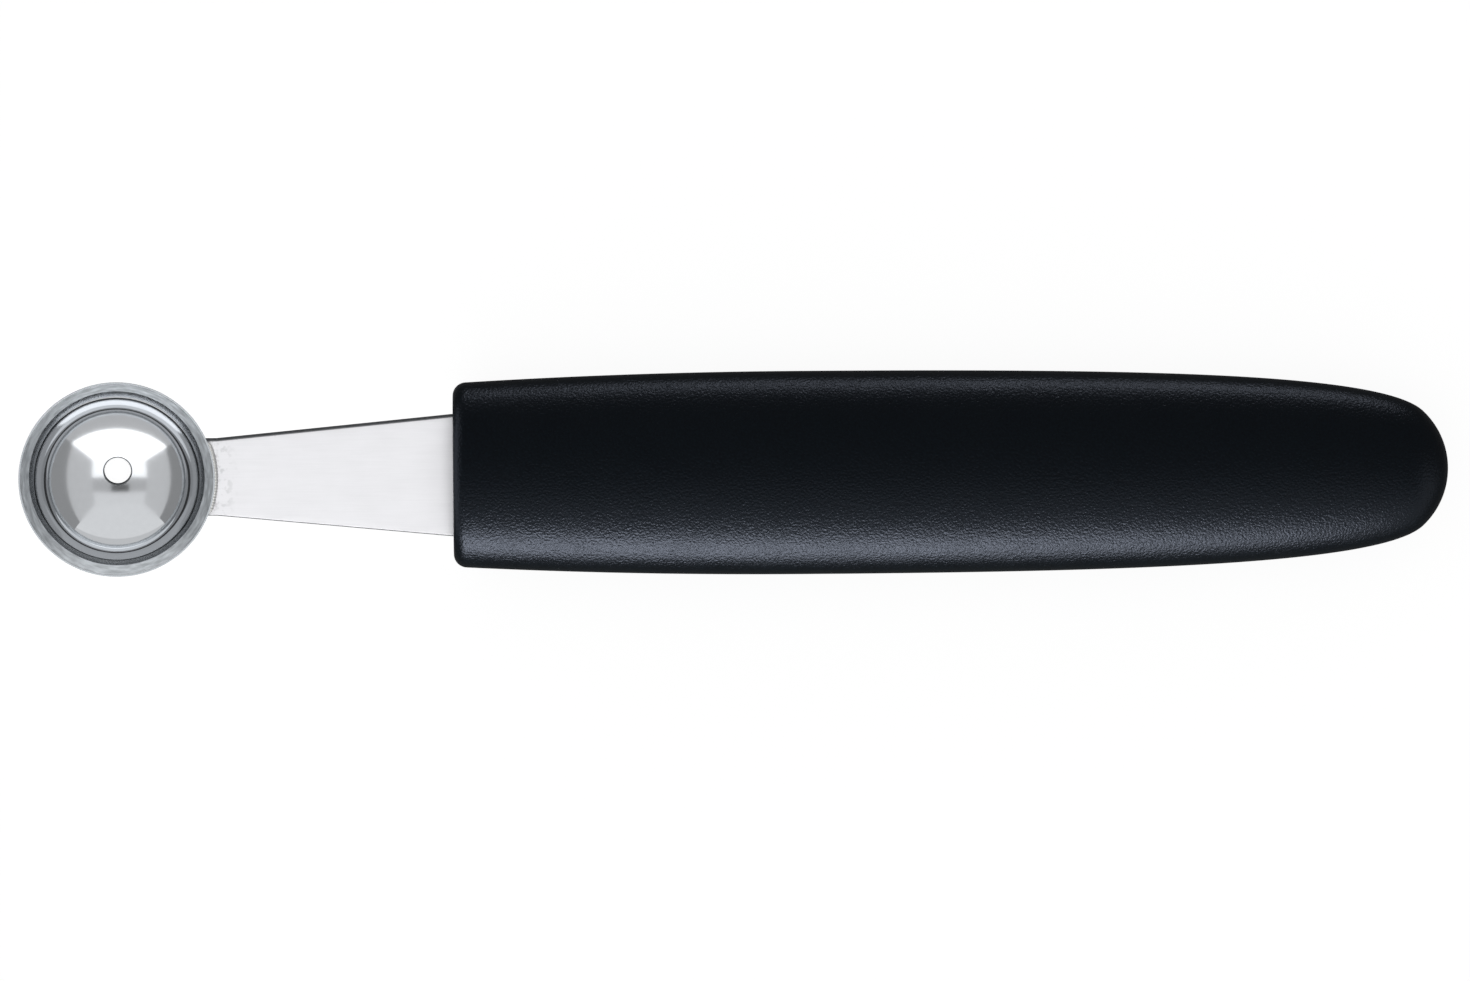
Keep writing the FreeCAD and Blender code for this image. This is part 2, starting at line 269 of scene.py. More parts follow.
class StageSettings(bpy.types.PropertyGroup):
    """Camera, floor and lights."""

    frame_width: length("Frame width", "Width that the picture shows", 0.16428)
    target_x: place("Target X", "Middle of the picture, along the tool", 0.00018)
    target_y: place("Target Y", "Middle of the picture, across the tool", -0.00183)
    target_z: place("Target Z", "Middle of the picture, above the table", 0.007)
    tilt: angle("Tilt", "How far the camera leans over from upright", 8.4)
    roll: angle("Roll", "How far the tool is turned in the picture", 0.42)
    lens_mm: FloatProperty(name="Lens", description="Focal length", default=800, min=1, unit="CAMERA")
    floor_size: length("Floor size", "Side of the floor", 6)
    tent_top: length("Tent top", "Height of the light tent's ceiling", 0.5)
    skirt_foot: length("Skirt foot", "Height of the dark gap under the tent's skirts", 0.025)
    near_reach: length("Near reach", "From the scoop's axis to the tent's near side", 0.2)
    near_hem: length("Near hem", "Height at which the near side's bright cloth ends", 0.155)
    near_level: level("Near side", "Brightness of the near side", 3.4)
    near_skirt: level("Near skirt", "Brightness under the near side's hem", 0.72)
    far_reach: length("Far reach", "From the scoop's axis to the tent's far side", 0.237)
    far_hem: length("Far hem", "Height at which the far side's bright cloth ends", 0.1)
    far_level: level("Far side", "Brightness of the far side", 1.12)
    far_skirt: level("Far skirt", "Brightness under the far side's hem", 0.87)
    ahead_reach: length("Ahead reach", "From the scoop's axis to the tent's end ahead of the scoop", 0.282)
    ahead_hem: length("Ahead hem", "Height at which the bright cloth ahead ends", 0.18)
    ahead_level: level("End ahead", "Brightness of the end ahead", 0.82)
    ahead_skirt: level("Skirt ahead", "Brightness under the hem ahead", 0.33)
    behind_reach: length("Behind reach", "From the scoop's axis to the tent's end behind it", 0.218)
    behind_hem: length("Behind hem", "Height at which the bright cloth behind ends", 0.17)
    behind_level: level("End behind", "Brightness of the end behind", 0.81)
    behind_skirt: level("Skirt behind", "Brightness under the hem behind", 0.37)
    near_ceiling: level("Near ceiling", "Brightness of the ceiling on the near side of the slot", 2)
    far_ceiling: level("Far ceiling", "Brightness of the ceiling on the far side of the slot", 1.08)
    slot_level: level("Slot", "Brightness of the cloth in the camera's slot", 0.64)
    slot_near: place("Slot near", "Near edge of the camera's slot", -0.023)
    slot_far: place("Slot far", "Far edge of the camera's slot", 0.107)
    opening_near: place("Opening near", "Near edge of the dark opening in the slot", 0.038)
    opening_far: place("Opening far", "Far edge of the dark opening in the slot", 0.102)
    opening_start: place("Opening start", "From the scoop's axis ahead to the opening's near end", -0.045)
    opening_end: place("Opening end", "From the scoop's axis ahead to the opening's far end", 0.105)
    near_strip_at: spot("Near strip", "Middle of the strip light on the near side", (-0.05, -0.4, 0.203))
    near_strip_size: extent("Near strip size", "Size of that strip light", (0.3, 0.13))
    near_strip_level: level("Near strip level", "Brightness of that strip light", 8.8)
    near_bank_at: spot("Near bank", "Middle of the light bank over the handle's near side", (0, -0.35, 0.5))
    near_bank_size: extent("Near bank size", "Size of that bank", (0.6, 0.4))
    near_bank_level: level("Near bank level", "Brightness of that bank", 0.25)
    far_strip_at: spot("Far strip", "Middle of the strip light on the far side", (0.09, 0.5, 0.02))
    far_strip_size: extent("Far strip size", "Size of that strip light", (0.32, 0.04))
    far_strip_level: level("Far strip level", "Brightness of that strip light", 6.6)
    far_bank_at: spot("Far bank", "Middle of the dim bank on the far side", (0, 0.8, 0.16))
    far_bank_size: extent("Far bank size", "Size of that bank", (0.8, 0.28))
    far_bank_level: level("Far bank level", "Brightness of that bank", 0.16)
    ahead_bank_at: spot("Bank ahead", "Middle of the bank ahead of the handle", (-0.9, 0, 0.42))
    ahead_bank_size: extent("Bank ahead size", "Size of that bank", (1.5, 0.8))
    ahead_bank_level: level("Bank ahead level", "Brightness of that bank", 0.7)
    behind_bank_at: spot("Bank behind", "Middle of the bank behind the handle", (0.7, -0.7, 0.42))
    behind_bank_size: extent("Bank behind size", "Size of that bank", (1.5, 0.8))
    behind_bank_level: level("Bank behind level", "Brightness of that bank", 0.3)
    sky_level: level("Sky", "Brightness of the room round the tent", 0.12)
    floor: colour("Floor", "Colour of the floor", (0.8, 0.8, 0.8))
    floor_lift: level("Floor lift", "How much the floor is lifted towards white", 0.91)


class BallerSettings(bpy.types.PropertyGroup):
    """All settings of the tool and its studio."""

    scoop: PointerProperty(type=ScoopSettings)
    shank: PointerProperty(type=ShankSettings)
    weld: PointerProperty(type=WeldSettings)
    handle: PointerProperty(type=HandleSettings)
    stage: PointerProperty(type=StageSettings)


def smooth_by_area(mesh):
    """Shades a mesh smooth, with normals that lean to the larger faces: flats stay flat beside rounds."""
    mesh.shade_smooth()
    normals = [Vector() for _ in mesh.vertices]
    for face in mesh.polygons:
        for index in face.vertices:
            normals[index] += face.normal * face.area
    mesh.normals_split_custom_set_from_vertices([normal.normalized() for normal in normals])


def add_piece(name, node, builder, materials):
    """Turns a finished bmesh into a piece of the tool that stands for one node of the frame."""
    bmesh.ops.recalc_face_normals(builder, faces=builder.faces)
    mesh = bpy.data.meshes.new(name)
    builder.to_mesh(mesh)
    builder.free()
    for material in materials:
        mesh.materials.append(material)
    smooth_by_area(mesh)
    piece = bpy.data.objects.new(name, mesh)
    bpy.context.scene.collection.objects.link(piece)
    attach(piece, BODY)
    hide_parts(node)


def add_ring(builder, points):
    """Adds a ring of points and gives its vertices."""
    return [builder.verts.new(point) for point in points]


def bridge(builder, first, second, finish=0):
    """Joins two rings of as many vertices with a band of quads; finish is one number or one for each quad."""
    size = len(first)
    for index in range(size):
        after = (index + 1) % size
        face = builder.faces.new((first[index], first[after], second[after], second[index]))
        face.material_index = finish if isinstance(finish, int) else finish[index]


def close_with_fan(builder, ring, point, finish=0):
    """Closes a ring with triangles to one point."""
    tip = builder.verts.new(point)
    for index, vertex in enumerate(ring):
        face = builder.faces.new((vertex, ring[(index + 1) % len(ring)], tip))
        face.material_index = finish


def arc_points(centre, radius, start, end, steps):
    """Points of a flat arc, both ends included."""
    angles = [start + (end - start) * step / steps for step in range(steps + 1)]
    return [centre + radius * Vector((math.cos(turn), math.sin(turn))) for turn in angles]


def spokes(steps):
    """Directions of evenly spaced spokes, as cosine and sine."""
    turns = [FULL_TURN * step / steps for step in range(steps)]
    return [(math.cos(turn), math.sin(turn)) for turn in turns]


def bezier_points(controls, steps):
    """Points of a quadratic or cubic curve, both ends included."""
    points = []
    for step in range(steps + 1):
        part = step / steps
        line = list(controls)
        while len(line) > 1:
            line = [first.lerp(second, part) for first, second in zip(line, line[1:])]
        points.append(line[0])
    return points


def new_material(name):
    """A node material with its shader."""
    material = bpy.data.materials.new(name)
    material.use_nodes = True
    return material, material.node_tree, material.node_tree.nodes["Principled BSDF"]


def new_metal(name):
    """A node material of bare metal with its shader."""
    material, tree, shader = new_material(name)
    shader.inputs["Metallic"].default_value = 1
    return material, tree, shader


def add_node(tree, kind, **values):
    """Adds a shader node and sets its properties and inputs by name."""
    node = tree.nodes.new(kind)
    for name, value in values.items():
        if name in node.bl_rna.properties:
            setattr(node, name, value)
        else:
            node.inputs[name.replace("_", " ").title()].default_value = value
    return node


def feed(tree, target, value):
    """Gives an input its value: another node's output, or a plain number or colour."""
    if isinstance(value, bpy.types.NodeSocket):
        tree.links.new(value, target)
    else:
        target.default_value = value


def work_out(tree, operation, first, second):
    """A number made of two others."""
    node = add_node(tree, "ShaderNodeMath", operation=operation)
    feed(tree, node.inputs[0], first)
    feed(tree, node.inputs[1], second)
    return node.outputs[0]


def place_on_piece(tree, location=(0, 0, 0), scale=(1, 1, 1)):
    """Coordinates of the piece, in metres, moved by a location and then scaled."""
    coordinates = add_node(tree, "ShaderNodeTexCoord")
    moved = add_node(tree, "ShaderNodeVectorMath", operation="ADD")
    moved.inputs[1].default_value = location
    scaled = add_node(tree, "ShaderNodeVectorMath", operation="MULTIPLY")
    scaled.inputs[1].default_value = scale
    tree.links.new(coordinates.outputs["Object"], moved.inputs[0])
    tree.links.new(moved.outputs[0], scaled.inputs[0])
    return scaled.outputs[0]


def noise(tree, vector, grain, detail=2.0):
    """Noise whose lumps are about as large as grain, in metres."""
    node = add_node(tree, "ShaderNodeTexNoise", scale=1 / grain, detail=detail)
    tree.links.new(vector, node.inputs["Vector"])
    return node.outputs["Fac"]


def ramp(tree, value, from_range, to_range):
    """Carries a value from one range to another and stops at its ends."""
    node = add_node(tree, "ShaderNodeMapRange")
    for name, number in zip(("From Min", "From Max", "To Min", "To Max"), (*from_range, *to_range)):
        node.inputs[name].default_value = number
    tree.links.new(value, node.inputs["Value"])
    return node.outputs["Result"]


def bump(tree, height, depth, before=None):
    """Bump of a height field whose range is depth, in metres, on top of another bump."""
    node = add_node(tree, "ShaderNodeBump", distance=depth)
    tree.links.new(height, node.inputs["Height"])
    if before is not None:
        tree.links.new(before, node.inputs["Normal"])
    return node.outputs["Normal"]


def shaded(tint, factor):
    """A colour made lighter or darker, as a socket takes it."""
    return (*(min(1.0, channel * factor) for channel in tint), 1)


def blend_colours(tree, value, first, second):
    """A colour between two colours."""
    node = add_node(tree, "ShaderNodeMix", data_type="RGBA")
    feed(tree, node.inputs[MIX_FIRST], first)
    feed(tree, node.inputs[MIX_SECOND], second)
    tree.links.new(value, node.inputs["Factor"])
    return node.outputs[MIX_RESULT]


def mottled(tree, value, tint, spread):
    """A colour that goes from darker to lighter by a spread with a value."""
    return blend_colours(tree, value, shaded(tint, 1 - spread), shaded(tint, 1 + spread))


def finish_surface(tree, shader, tint, roughness, normal):
    """Links the colour, the roughness and the normal that a finish has worked out."""
    tree.links.new(tint, shader.inputs["Base Color"])
    tree.links.new(roughness, shader.inputs["Roughness"])
    tree.links.new(normal, shader.inputs["Normal"])


def axis_distance(tree, axis):
    """Distance from an upright axis, in metres."""
    flat = place_on_piece(tree, location=(-axis.x, -axis.y, 0), scale=(1, 1, 0))
    radius = add_node(tree, "ShaderNodeVectorMath", operation="LENGTH")
    tree.links.new(flat, radius.inputs[0])
    return radius.outputs["Value"]


def polished_steel(name, steel, polish, axis=None, flank=None):
    """Polished steel with faint waves of the press tool and a fine polishing haze.

    With an axis, the roughness goes from its lowest on the flank's radii to its highest nearer the axis."""
    material, tree, shader = new_metal(name)
    where = place_on_piece(tree)
    haze = noise(tree, where, HAZE_GRAIN, 4)
    if axis is None:
        roughness = ramp(tree, haze, NOISE_MIDDLE, polish)
    else:
        roughness = ramp(tree, axis_distance(tree, axis), flank, polish[::-1])
    waves = bump(tree, noise(tree, where, WAVE_GRAIN), WAVE_DEPTH)
    scratches = bump(tree, noise(tree, where, SCRATCH_GRAIN), SCRATCH_DEPTH, waves)
    finish_surface(tree, shader, mottled(tree, haze, steel, HAZE_SPREAD), roughness, scratches)
    return material


def turned_steel(name, steel, axis):
    """Ground steel with short, fine streaks that lie round an upright axis."""
    material, tree, shader = new_metal(name)
    flat = add_node(tree, "ShaderNodeSeparateXYZ")
    from_axis = place_on_piece(tree, location=(-axis.x, -axis.y, 0), scale=(-1, -1, 0))
    tree.links.new(from_axis, flat.inputs[0])
    turn = work_out(tree, "ARCTAN2", flat.outputs["Y"], flat.outputs["X"])
    unrolled = add_node(tree, "ShaderNodeCombineXYZ")
    tree.links.new(axis_distance(tree, axis), unrolled.inputs["X"])
    tree.links.new(work_out(tree, "MULTIPLY", turn, STREAK_METRES_PER_RADIAN), unrolled.inputs["Y"])
    streaks = noise(tree, unrolled.outputs[0], STREAK_GRAIN, 3)
    roughness = ramp(tree, streaks, NOISE_MIDDLE, STREAK_ROUGHNESS)
    lines = bump(tree, streaks, STREAK_DEPTH)
    finish_surface(tree, shader, mottled(tree, streaks, steel, STREAK_SPREAD), roughness, lines)
    return material


def satin_steel(name, steel, axis, weld_reach):
    """Rolled strip with a fine grain along its length, a soft, even sheen and the weld's dull specks.

    The specks thin out between two radii from the scoop's axis."""
    material, tree, shader = new_metal(name)
    where = place_on_piece(tree)
    grain = noise(tree, place_on_piece(tree, scale=ROLLED_STRETCH), ROLLED_GRAIN, 3)
    clouds = noise(tree, where, STRIP_CLOUD_GRAIN, 3)
    specks = ramp(tree, noise(tree, where, SPECK_GRAIN, 2), SPECK_RANGE, (0, 1))
    near_weld = ramp(tree, axis_distance(tree, axis), weld_reach, (1, 0))
    dulled = work_out(tree, "MULTIPLY", specks, near_weld)
    rolled = mottled(tree, clouds, steel, STRIP_CLOUD_SPREAD)
    spotted = blend_colours(tree, dulled, rolled, shaded(steel, SPECK_SHADE))
    roughness = ramp(tree, grain, NOISE_MIDDLE, ROLLED_ROUGHNESS)
    finish_surface(tree, shader, spotted, roughness, bump(tree, grain, ROLLED_DEPTH))
    return material


def sheared_steel_painted_shade(name, steel):
    """Dull edge that a punch left, with marks along its stroke, and painted shade: a dark colour and no gleam
    at a flat glance.
    """
    material, tree, shader = new_metal(name)
    # A black specular tint takes away the edge's gleam at a flat glance: painted shade.
    shader.inputs["Specular Tint"].default_value = (0, 0, 0, 1)
    marks = noise(tree, place_on_piece(tree, scale=SHEAR_STRETCH), SHEAR_GRAIN, 3)
    roughness = ramp(tree, marks, NOISE_MIDDLE, SHEAR_ROUGHNESS)
    tint = mottled(tree, marks, steel, SHEAR_SPREAD)
    finish_surface(tree, shader, tint, roughness, bump(tree, marks, SHEAR_DEPTH))
    return material


def moulded_plastic(name, plastic, sheen):
    """Black moulding with the fine sparked skin of its mould and a soft sheen."""
    material, tree, shader = new_material(name)
    shader.inputs["Specular Tint"].default_value = (*sheen, 1)
    where = place_on_piece(tree)
    clouds = noise(tree, where, GLOSS_CLOUD_GRAIN, 3)
    sparks = noise(tree, where, SPARK_GRAIN, 2)
    speckles = ramp(tree, sparks, NOISE_MIDDLE, (0, 1))
    roughness = ramp(tree, clouds, NOISE_MIDDLE, GLOSS_ROUGHNESS)
    tint = mottled(tree, speckles, plastic, SPARK_SPREAD)
    finish_surface(tree, shader, tint, roughness, bump(tree, sparks, SPARK_DEPTH))
    return material


def floor_paint(settings):
    """Pale floor that takes the tool's shadow and that the camera and reflections see lifted to white."""
    material, tree, shader = new_material("pale_floor")
    shader.inputs["Base Color"].default_value = (*settings.floor, 1)
    shader.inputs["Roughness"].default_value = FLOOR_ROUGHNESS
    shader.inputs["Specular IOR Level"].default_value = 0
    shader.inputs["Emission Color"].default_value = (1, 1, 1, 1)
    rays = add_node(tree, "ShaderNodeLightPath").outputs
    seen = work_out(tree, "MAXIMUM", rays["Is Camera Ray"], rays["Is Glossy Ray"])
    seen = work_out(tree, "MAXIMUM", seen, rays["Is Transmission Ray"])
    lift = work_out(tree, "MULTIPLY", seen, settings.floor_lift)
    tree.links.new(lift, shader.inputs["Emission Strength"])
    return material


def worn_corner(before, corner, after):
    """Points of a small round in place of a corner, without its ends."""
    return bezier_points([before, corner, after], WORN_STEPS)[1:-1]


class Oval:
    """One of the scoop's two oval surfaces, as seen in its section: points are radius and height."""

    def __init__(self, settings, outer):
        shell_depth = settings.bowl_half_depth + settings.wall
        shell_width = settings.radius / math.sqrt(1 - (settings.rim_under_equator / shell_depth) ** 2)
        inset = 0 if outer else settings.wall
        self.half_depth = shell_depth - inset
        self.half_width = shell_width - inset
        self.equator_z = settings.rim_z + settings.rim_under_equator

    def turn_at_height(self, height):
        """Angle of the point at a height below the widest level."""
        return -math.asin((self.equator_z - height) / self.half_depth)

    def turn_at_radius(self, radius):
        """Angle of the point at a distance from the axis."""
        return -math.acos(radius / self.half_width)

    def point(self, turn):
        """Point at an angle."""
        return Vector((self.half_width * math.cos(turn), self.equator_z + self.half_depth * math.sin(turn)))

    def points(self, start, end, steps):
        """Points of an arc, both ends included."""
        return [self.point(start + (end - start) * step / steps) for step in range(steps + 1)]

    def level_radius(self, height):
        """Distance from the axis at a height."""
        return self.point(self.turn_at_height(height)).x


def scoop_section(settings):
    """Stretches of the shell's section, in order round it, as (points, finish); points are radius, height."""
    worn = settings.edge_round
    bowl, shell = Oval(settings, outer=False), Oval(settings, outer=True)
    foot_turn = bowl.turn_at_height(settings.rim_z - settings.bevel_height)
    rim_turn = shell.turn_at_height(settings.rim_z)
    vent_turn_in = bowl.turn_at_radius(settings.vent_radius)
    vent_turn_out = shell.turn_at_radius(settings.vent_radius)

    worn_turn = worn / bowl.half_depth
    ring_turn = bowl.turn_at_radius(settings.vent_radius + settings.vent_shade_ring_width)
    bevel_shade_turn = bowl.turn_at_radius(bowl.point(foot_turn).x - settings.bevel_shade_ring_width)
    inside = bowl.points(ring_turn, bevel_shade_turn, settings.steps_up)
    under_bevel = bowl.points(bevel_shade_turn, foot_turn - worn_turn, settings.steps_up // 4)[1:]
    outside = shell.points(rim_turn - worn_turn, vent_turn_out + worn_turn, settings.steps_up // 2)
    foot = bowl.point(foot_turn)
    rim = shell.point(rim_turn)
    land = rim - Vector((settings.land, 0))
    vent_in = bowl.point(vent_turn_in)
    vent_out = shell.point(vent_turn_out)

    slope = (land - foot).normalized() * worn
    level_step = Vector((worn / 2, 0))
    rise = Vector((0, worn))
    bevel = bezier_points([foot + slope, land - slope], BEVEL_STEPS)
    top = [land + level_step, rim - level_step]
    vent_wall = [vent_out + rise, vent_in - rise]
    mirror, ground, satin, punched, dull = range(5)
    return [
        (inside[:-1], mirror),
        # The ring under the bevel, the land and its worn corners take the dull finish, whose darker colour is
        # painted shade.
        (inside[-1:] + under_bevel, dull),
        (worn_corner(under_bevel[-1], foot, bevel[0]), ground),
        (bevel, ground),
        (worn_corner(bevel[-1], land, top[0]), dull),
        (top, dull),
        (worn_corner(top[-1], rim, outside[0]), dull),
        (outside, satin),
        # The vent's wall and the narrow ring round it take the punched finish, whose near-black colour is
        # painted shade.
        (worn_corner(outside[-1], vent_out, vent_wall[0]), punched),
        (vent_wall, punched),
        (worn_corner(vent_wall[-1], vent_in, inside[0]), punched),
    ]


class BALLER_OT_scoop(bpy.types.Operator):
    """Turns the scoop's shell, polished inside, with a ground rim and a vent hole"""

    bl_idname = "baller.scoop"
    bl_label = "Scoop"

    def execute(self, context):
        settings = context.scene.baller.scoop
        axis = Vector((settings.axis_x, 0, 0))
        directions = spokes(settings.steps_round)
        builder = bmesh.new()
        rings = []
        for points, finish in scoop_section(settings):
            for radius, height in points:
                ring = [(axis.x + radius * along, radius * across, height) for along, across in directions]
                rings.append((add_ring(builder, ring), finish))
        for (ring, finish), (following, _) in zip(rings, rings[1:] + rings[:1]):
            bridge(builder, ring, following, finish)
        flank = [part * settings.radius for part in BRIGHT_FLANK]
        materials = [
            polished_steel("scoop_polish", settings.steel, BOWL_POLISH, axis, flank),
            turned_steel("scoop_ground_rim", settings.ground_steel, axis),
            polished_steel("scoop_outside", settings.steel, OUTSIDE_POLISH),
            # The vent's finish is painted shade: a near-black steel on its wall and on the ring round it.
            sheared_steel_painted_shade("scoop_punched_vent", settings.punched_steel_painted_shade),
            # The dull ring's finish has a darker colour that is painted shade and a rougher polish that is
            # real.
            polished_steel("scoop_dull_ring", settings.dull_steel_painted_shade, DULL_POLISH),
        ]
        add_piece("scoop", "scoop_bowl", builder, materials)
        return {"FINISHED"}


def strip_section(half_width, half_height, corner, steps, steps_across):
    """Points (across, up) of a rectangle with rounded corners, and the finish of the side after each."""
    points = []
    finishes = []
    flat, edge = 0, 1
    flat_steps = steps // 4
    for quarter, (across, up) in enumerate(((1, 1), (-1, 1), (-1, -1), (1, -1))):
        reach = across * (half_width - corner)
        centre = Vector((reach, up * (half_height - corner)))
        start = quarter * QUARTER_TURN
        points += arc_points(centre, corner, start, start + QUARTER_TURN, steps)
        corner_finishes = [edge] * (steps - flat_steps) + [flat] * flat_steps
        if quarter % 2:
            finishes += corner_finishes[::-1] + [edge]
        else:
            shares = [step / steps_across for step in range(1, steps_across)]
            points += [Vector((reach * (1 - 2 * part), up * half_height)) for part in shares]
            finishes += corner_finishes + [flat] * steps_across
    return points, finishes


def strip_middle_z(shank):
    """Height of the strip's middle."""
    return shank.top_z - shank.thickness / 2


def strip_stations(settings):
    """Stations of the strip as (place along it, half width), from the scoop's wall to the tang's end."""
    shank = settings.shank
    tip_x = settings.scoop.axis_x + settings.scoop.radius
    root_x = settings.handle.front_x
    slope = (shank.root_width - shank.tip_width) / 2 / (root_x - tip_x)
    shoulder_x = root_x + shank.shoulder_depth
    shoulder_half = shank.root_width / 2 + slope * shank.shoulder_depth
    tang_half = shank.tang_width / 2
    end_centre_x = shank.tang_end_x - tang_half
    stations = [(tip_x + shank.edge_round, shank.tip_width / 2 + slope * shank.edge_round)]
    stations += [(root_x, shank.root_width / 2), (shoulder_x, shoulder_half)]
    stations += [(shoulder_x + shoulder_half - tang_half, tang_half)]
    for step in range(TANG_STEPS):
        turn = QUARTER_TURN * step / TANG_STEPS
        stations.append((end_centre_x + tang_half * math.sin(turn), tang_half * math.cos(turn)))
    return stations


def strip_ring(settings, x, half_width, grown=0):
    """Ring of the strip's section at a station, grown on all sides, and its finishes."""
    shank = settings.shank
    middle_z = strip_middle_z(shank)
    half_height = shank.thickness / 2 + grown
    corner = shank.edge_round + grown
    section, finishes = strip_section(
        half_width + grown, half_height, corner, shank.steps_corner, shank.steps_across
    )
    return [Vector((x, point.x, middle_z + point.y)) for point in section], finishes


class BALLER_OT_shank(bpy.types.Operator):
    """Lofts the tapered strip with its rounded edges, let into the scoop's wall, and its tang"""

    bl_idname = "baller.shank"
    bl_label = "Shank"

    def execute(self, context):
        settings = context.scene.baller
        shell = Oval(settings.scoop, outer=True)
        stations = strip_stations(settings)

        def seat_x(across, height):
            """Where the strip ends inside the scoop's wall."""
            seat_radius = shell.level_radius(height) - settings.shank.seat_depth
            return settings.scoop.axis_x + math.sqrt(seat_radius**2 - across**2)

        tip_ring, finishes = strip_ring(settings, *stations[0])
        for point in tip_ring:
            point.x = seat_x(point.y, point.z)
        builder = bmesh.new()
        rings = [add_ring(builder, tip_ring)]
        rings += [add_ring(builder, strip_ring(settings, *station)[0]) for station in stations]
        for ring, following in zip(rings, rings[1:]):
            bridge(builder, ring, following, finishes)
        middle_z = strip_middle_z(settings.shank)
        close_with_fan(builder, rings[0], (seat_x(0, middle_z), 0, middle_z))
        close_with_fan(builder, rings[-1], (settings.shank.tang_end_x, 0, middle_z))
        axis = Vector((settings.scoop.axis_x, 0, 0))
        weld_reach = (settings.scoop.radius, settings.scoop.radius + settings.shank.weld_marks)
        materials = [
            satin_steel("shank_satin", settings.shank.steel, axis, weld_reach),
            # The cut edges get painted shade: a near-black colour and no gleam at a flat glance.
            sheared_steel_painted_shade("shank_sheared_edge", settings.shank.sheared_steel_painted_shade),
        ]
        add_piece("shank_strip", "shank", builder, materials)
        return {"FINISHED"}


def add_bead(builder, settings, face_z):
    """Adds one closed bead along the corner between the scoop's wall and a face of the strip."""
    scoop, weld = settings.scoop, settings.weld
    joint_radius = Oval(scoop, outer=True).level_radius(face_z)
    half_width = settings.shank.tip_width / 2 - settings.shank.edge_round
    reach = math.asin(half_width / joint_radius)
    upward = Vector((0, 0, 1))
    rings = []
    for step in range(weld.steps_along + 1):
        part = step / weld.steps_along
        turn = -reach + 2 * reach * part
        taper = max(BEAD_END_SHARE, 1 - abs(2 * part - 1) ** BEAD_BLUNTNESS)
        size = weld.radius * taper * (1 + weld.ripple * math.sin(FULL_TURN * weld.ripple_count * part))
        outward = Vector((math.cos(turn), math.sin(turn), 0))
        middle = Vector((scoop.axis_x, 0, face_z)) + outward * joint_radius
        ring = [middle + size * (outward * out + upward * up) for out, up in spokes(weld.steps_section)]
        rings.append((add_ring(builder, ring), middle))
    for (ring, _), (following, _) in zip(rings, rings[1:]):
        bridge(builder, ring, following)
    for ring, middle in (rings[0], rings[-1]):
        close_with_fan(builder, ring, middle)


class BALLER_OT_weld(bpy.types.Operator):
    """Lays the weld beads above and below the strip's end"""

    bl_idname = "baller.weld"
    bl_label = "Weld"

    def execute(self, context):
        settings = context.scene.baller
        builder = bmesh.new()
        add_bead(builder, settings, settings.shank.top_z)
        add_bead(builder, settings, settings.shank.top_z - settings.shank.thickness)
        materials = [polished_steel("weld_bright", settings.weld.steel, WELD_POLISH)]
        add_piece("weld_beads", "weld_seam", builder, materials)
        return {"FINISHED"}


def handle_flank(settings):
    """Points (along, half width) of the handle's plan outline, from its front to near the butt's tip."""
    half_width = settings.width / 2
    front_round = settings.front_round
    belly_radius = (settings.belly**2 + settings.front_taper**2) / (2 * settings.front_taper)
    belly_centre = Vector((settings.belly, half_width - belly_radius))
    reach_x = front_round - settings.belly
    reach_y = math.sqrt((belly_radius - front_round) ** 2 - reach_x**2)
    front_centre = belly_centre + Vector((reach_x, reach_y))
    round_end = math.atan2(reach_y, reach_x)

    butt_centre = Vector((settings.length - settings.butt_radius, 0))
    joint_turn = QUARTER_TURN - settings.butt_joint
    butt = arc_points(butt_centre, settings.butt_radius, joint_turn, 0, BUTT_STEPS)
    belly_top = Vector((settings.belly, half_width))
    run = butt[0].x - belly_top.x
    heading = Vector((math.sin(joint_turn), -math.cos(joint_turn)))
    flank = [
        belly_top,
        belly_top + Vector((run * settings.belly_pull_share, 0)),
        butt[0] - heading * run * settings.butt_pull_share,
        butt[0],
    ]
    points = arc_points(front_centre, front_round, math.pi, round_end, FRONT_STEPS)
    points += arc_points(belly_centre, belly_radius, round_end, QUARTER_TURN, BELLY_STEPS)[1:]
    points += bezier_points(flank, FLANK_STEPS)[1:]
    points += butt[1:-1]
    return points


def oval_turns(settings):
    """Angles round the oval, with close ones on both moulding seams, and the seam's height share at each."""
    turns = []
    steps = settings.steps_round // 2
    clear = SEAM_CLEARANCE * settings.seam_angle
    for side in (0, math.pi):
        turns += [(side + offset * settings.seam_angle, 1 - abs(offset)) for offset in (-1, 0, 1)]
        first = side + clear
        last = side + math.pi - clear
        turns += [(first + (last - first) * step / steps, 0) for step in range(steps + 1)]
    return turns


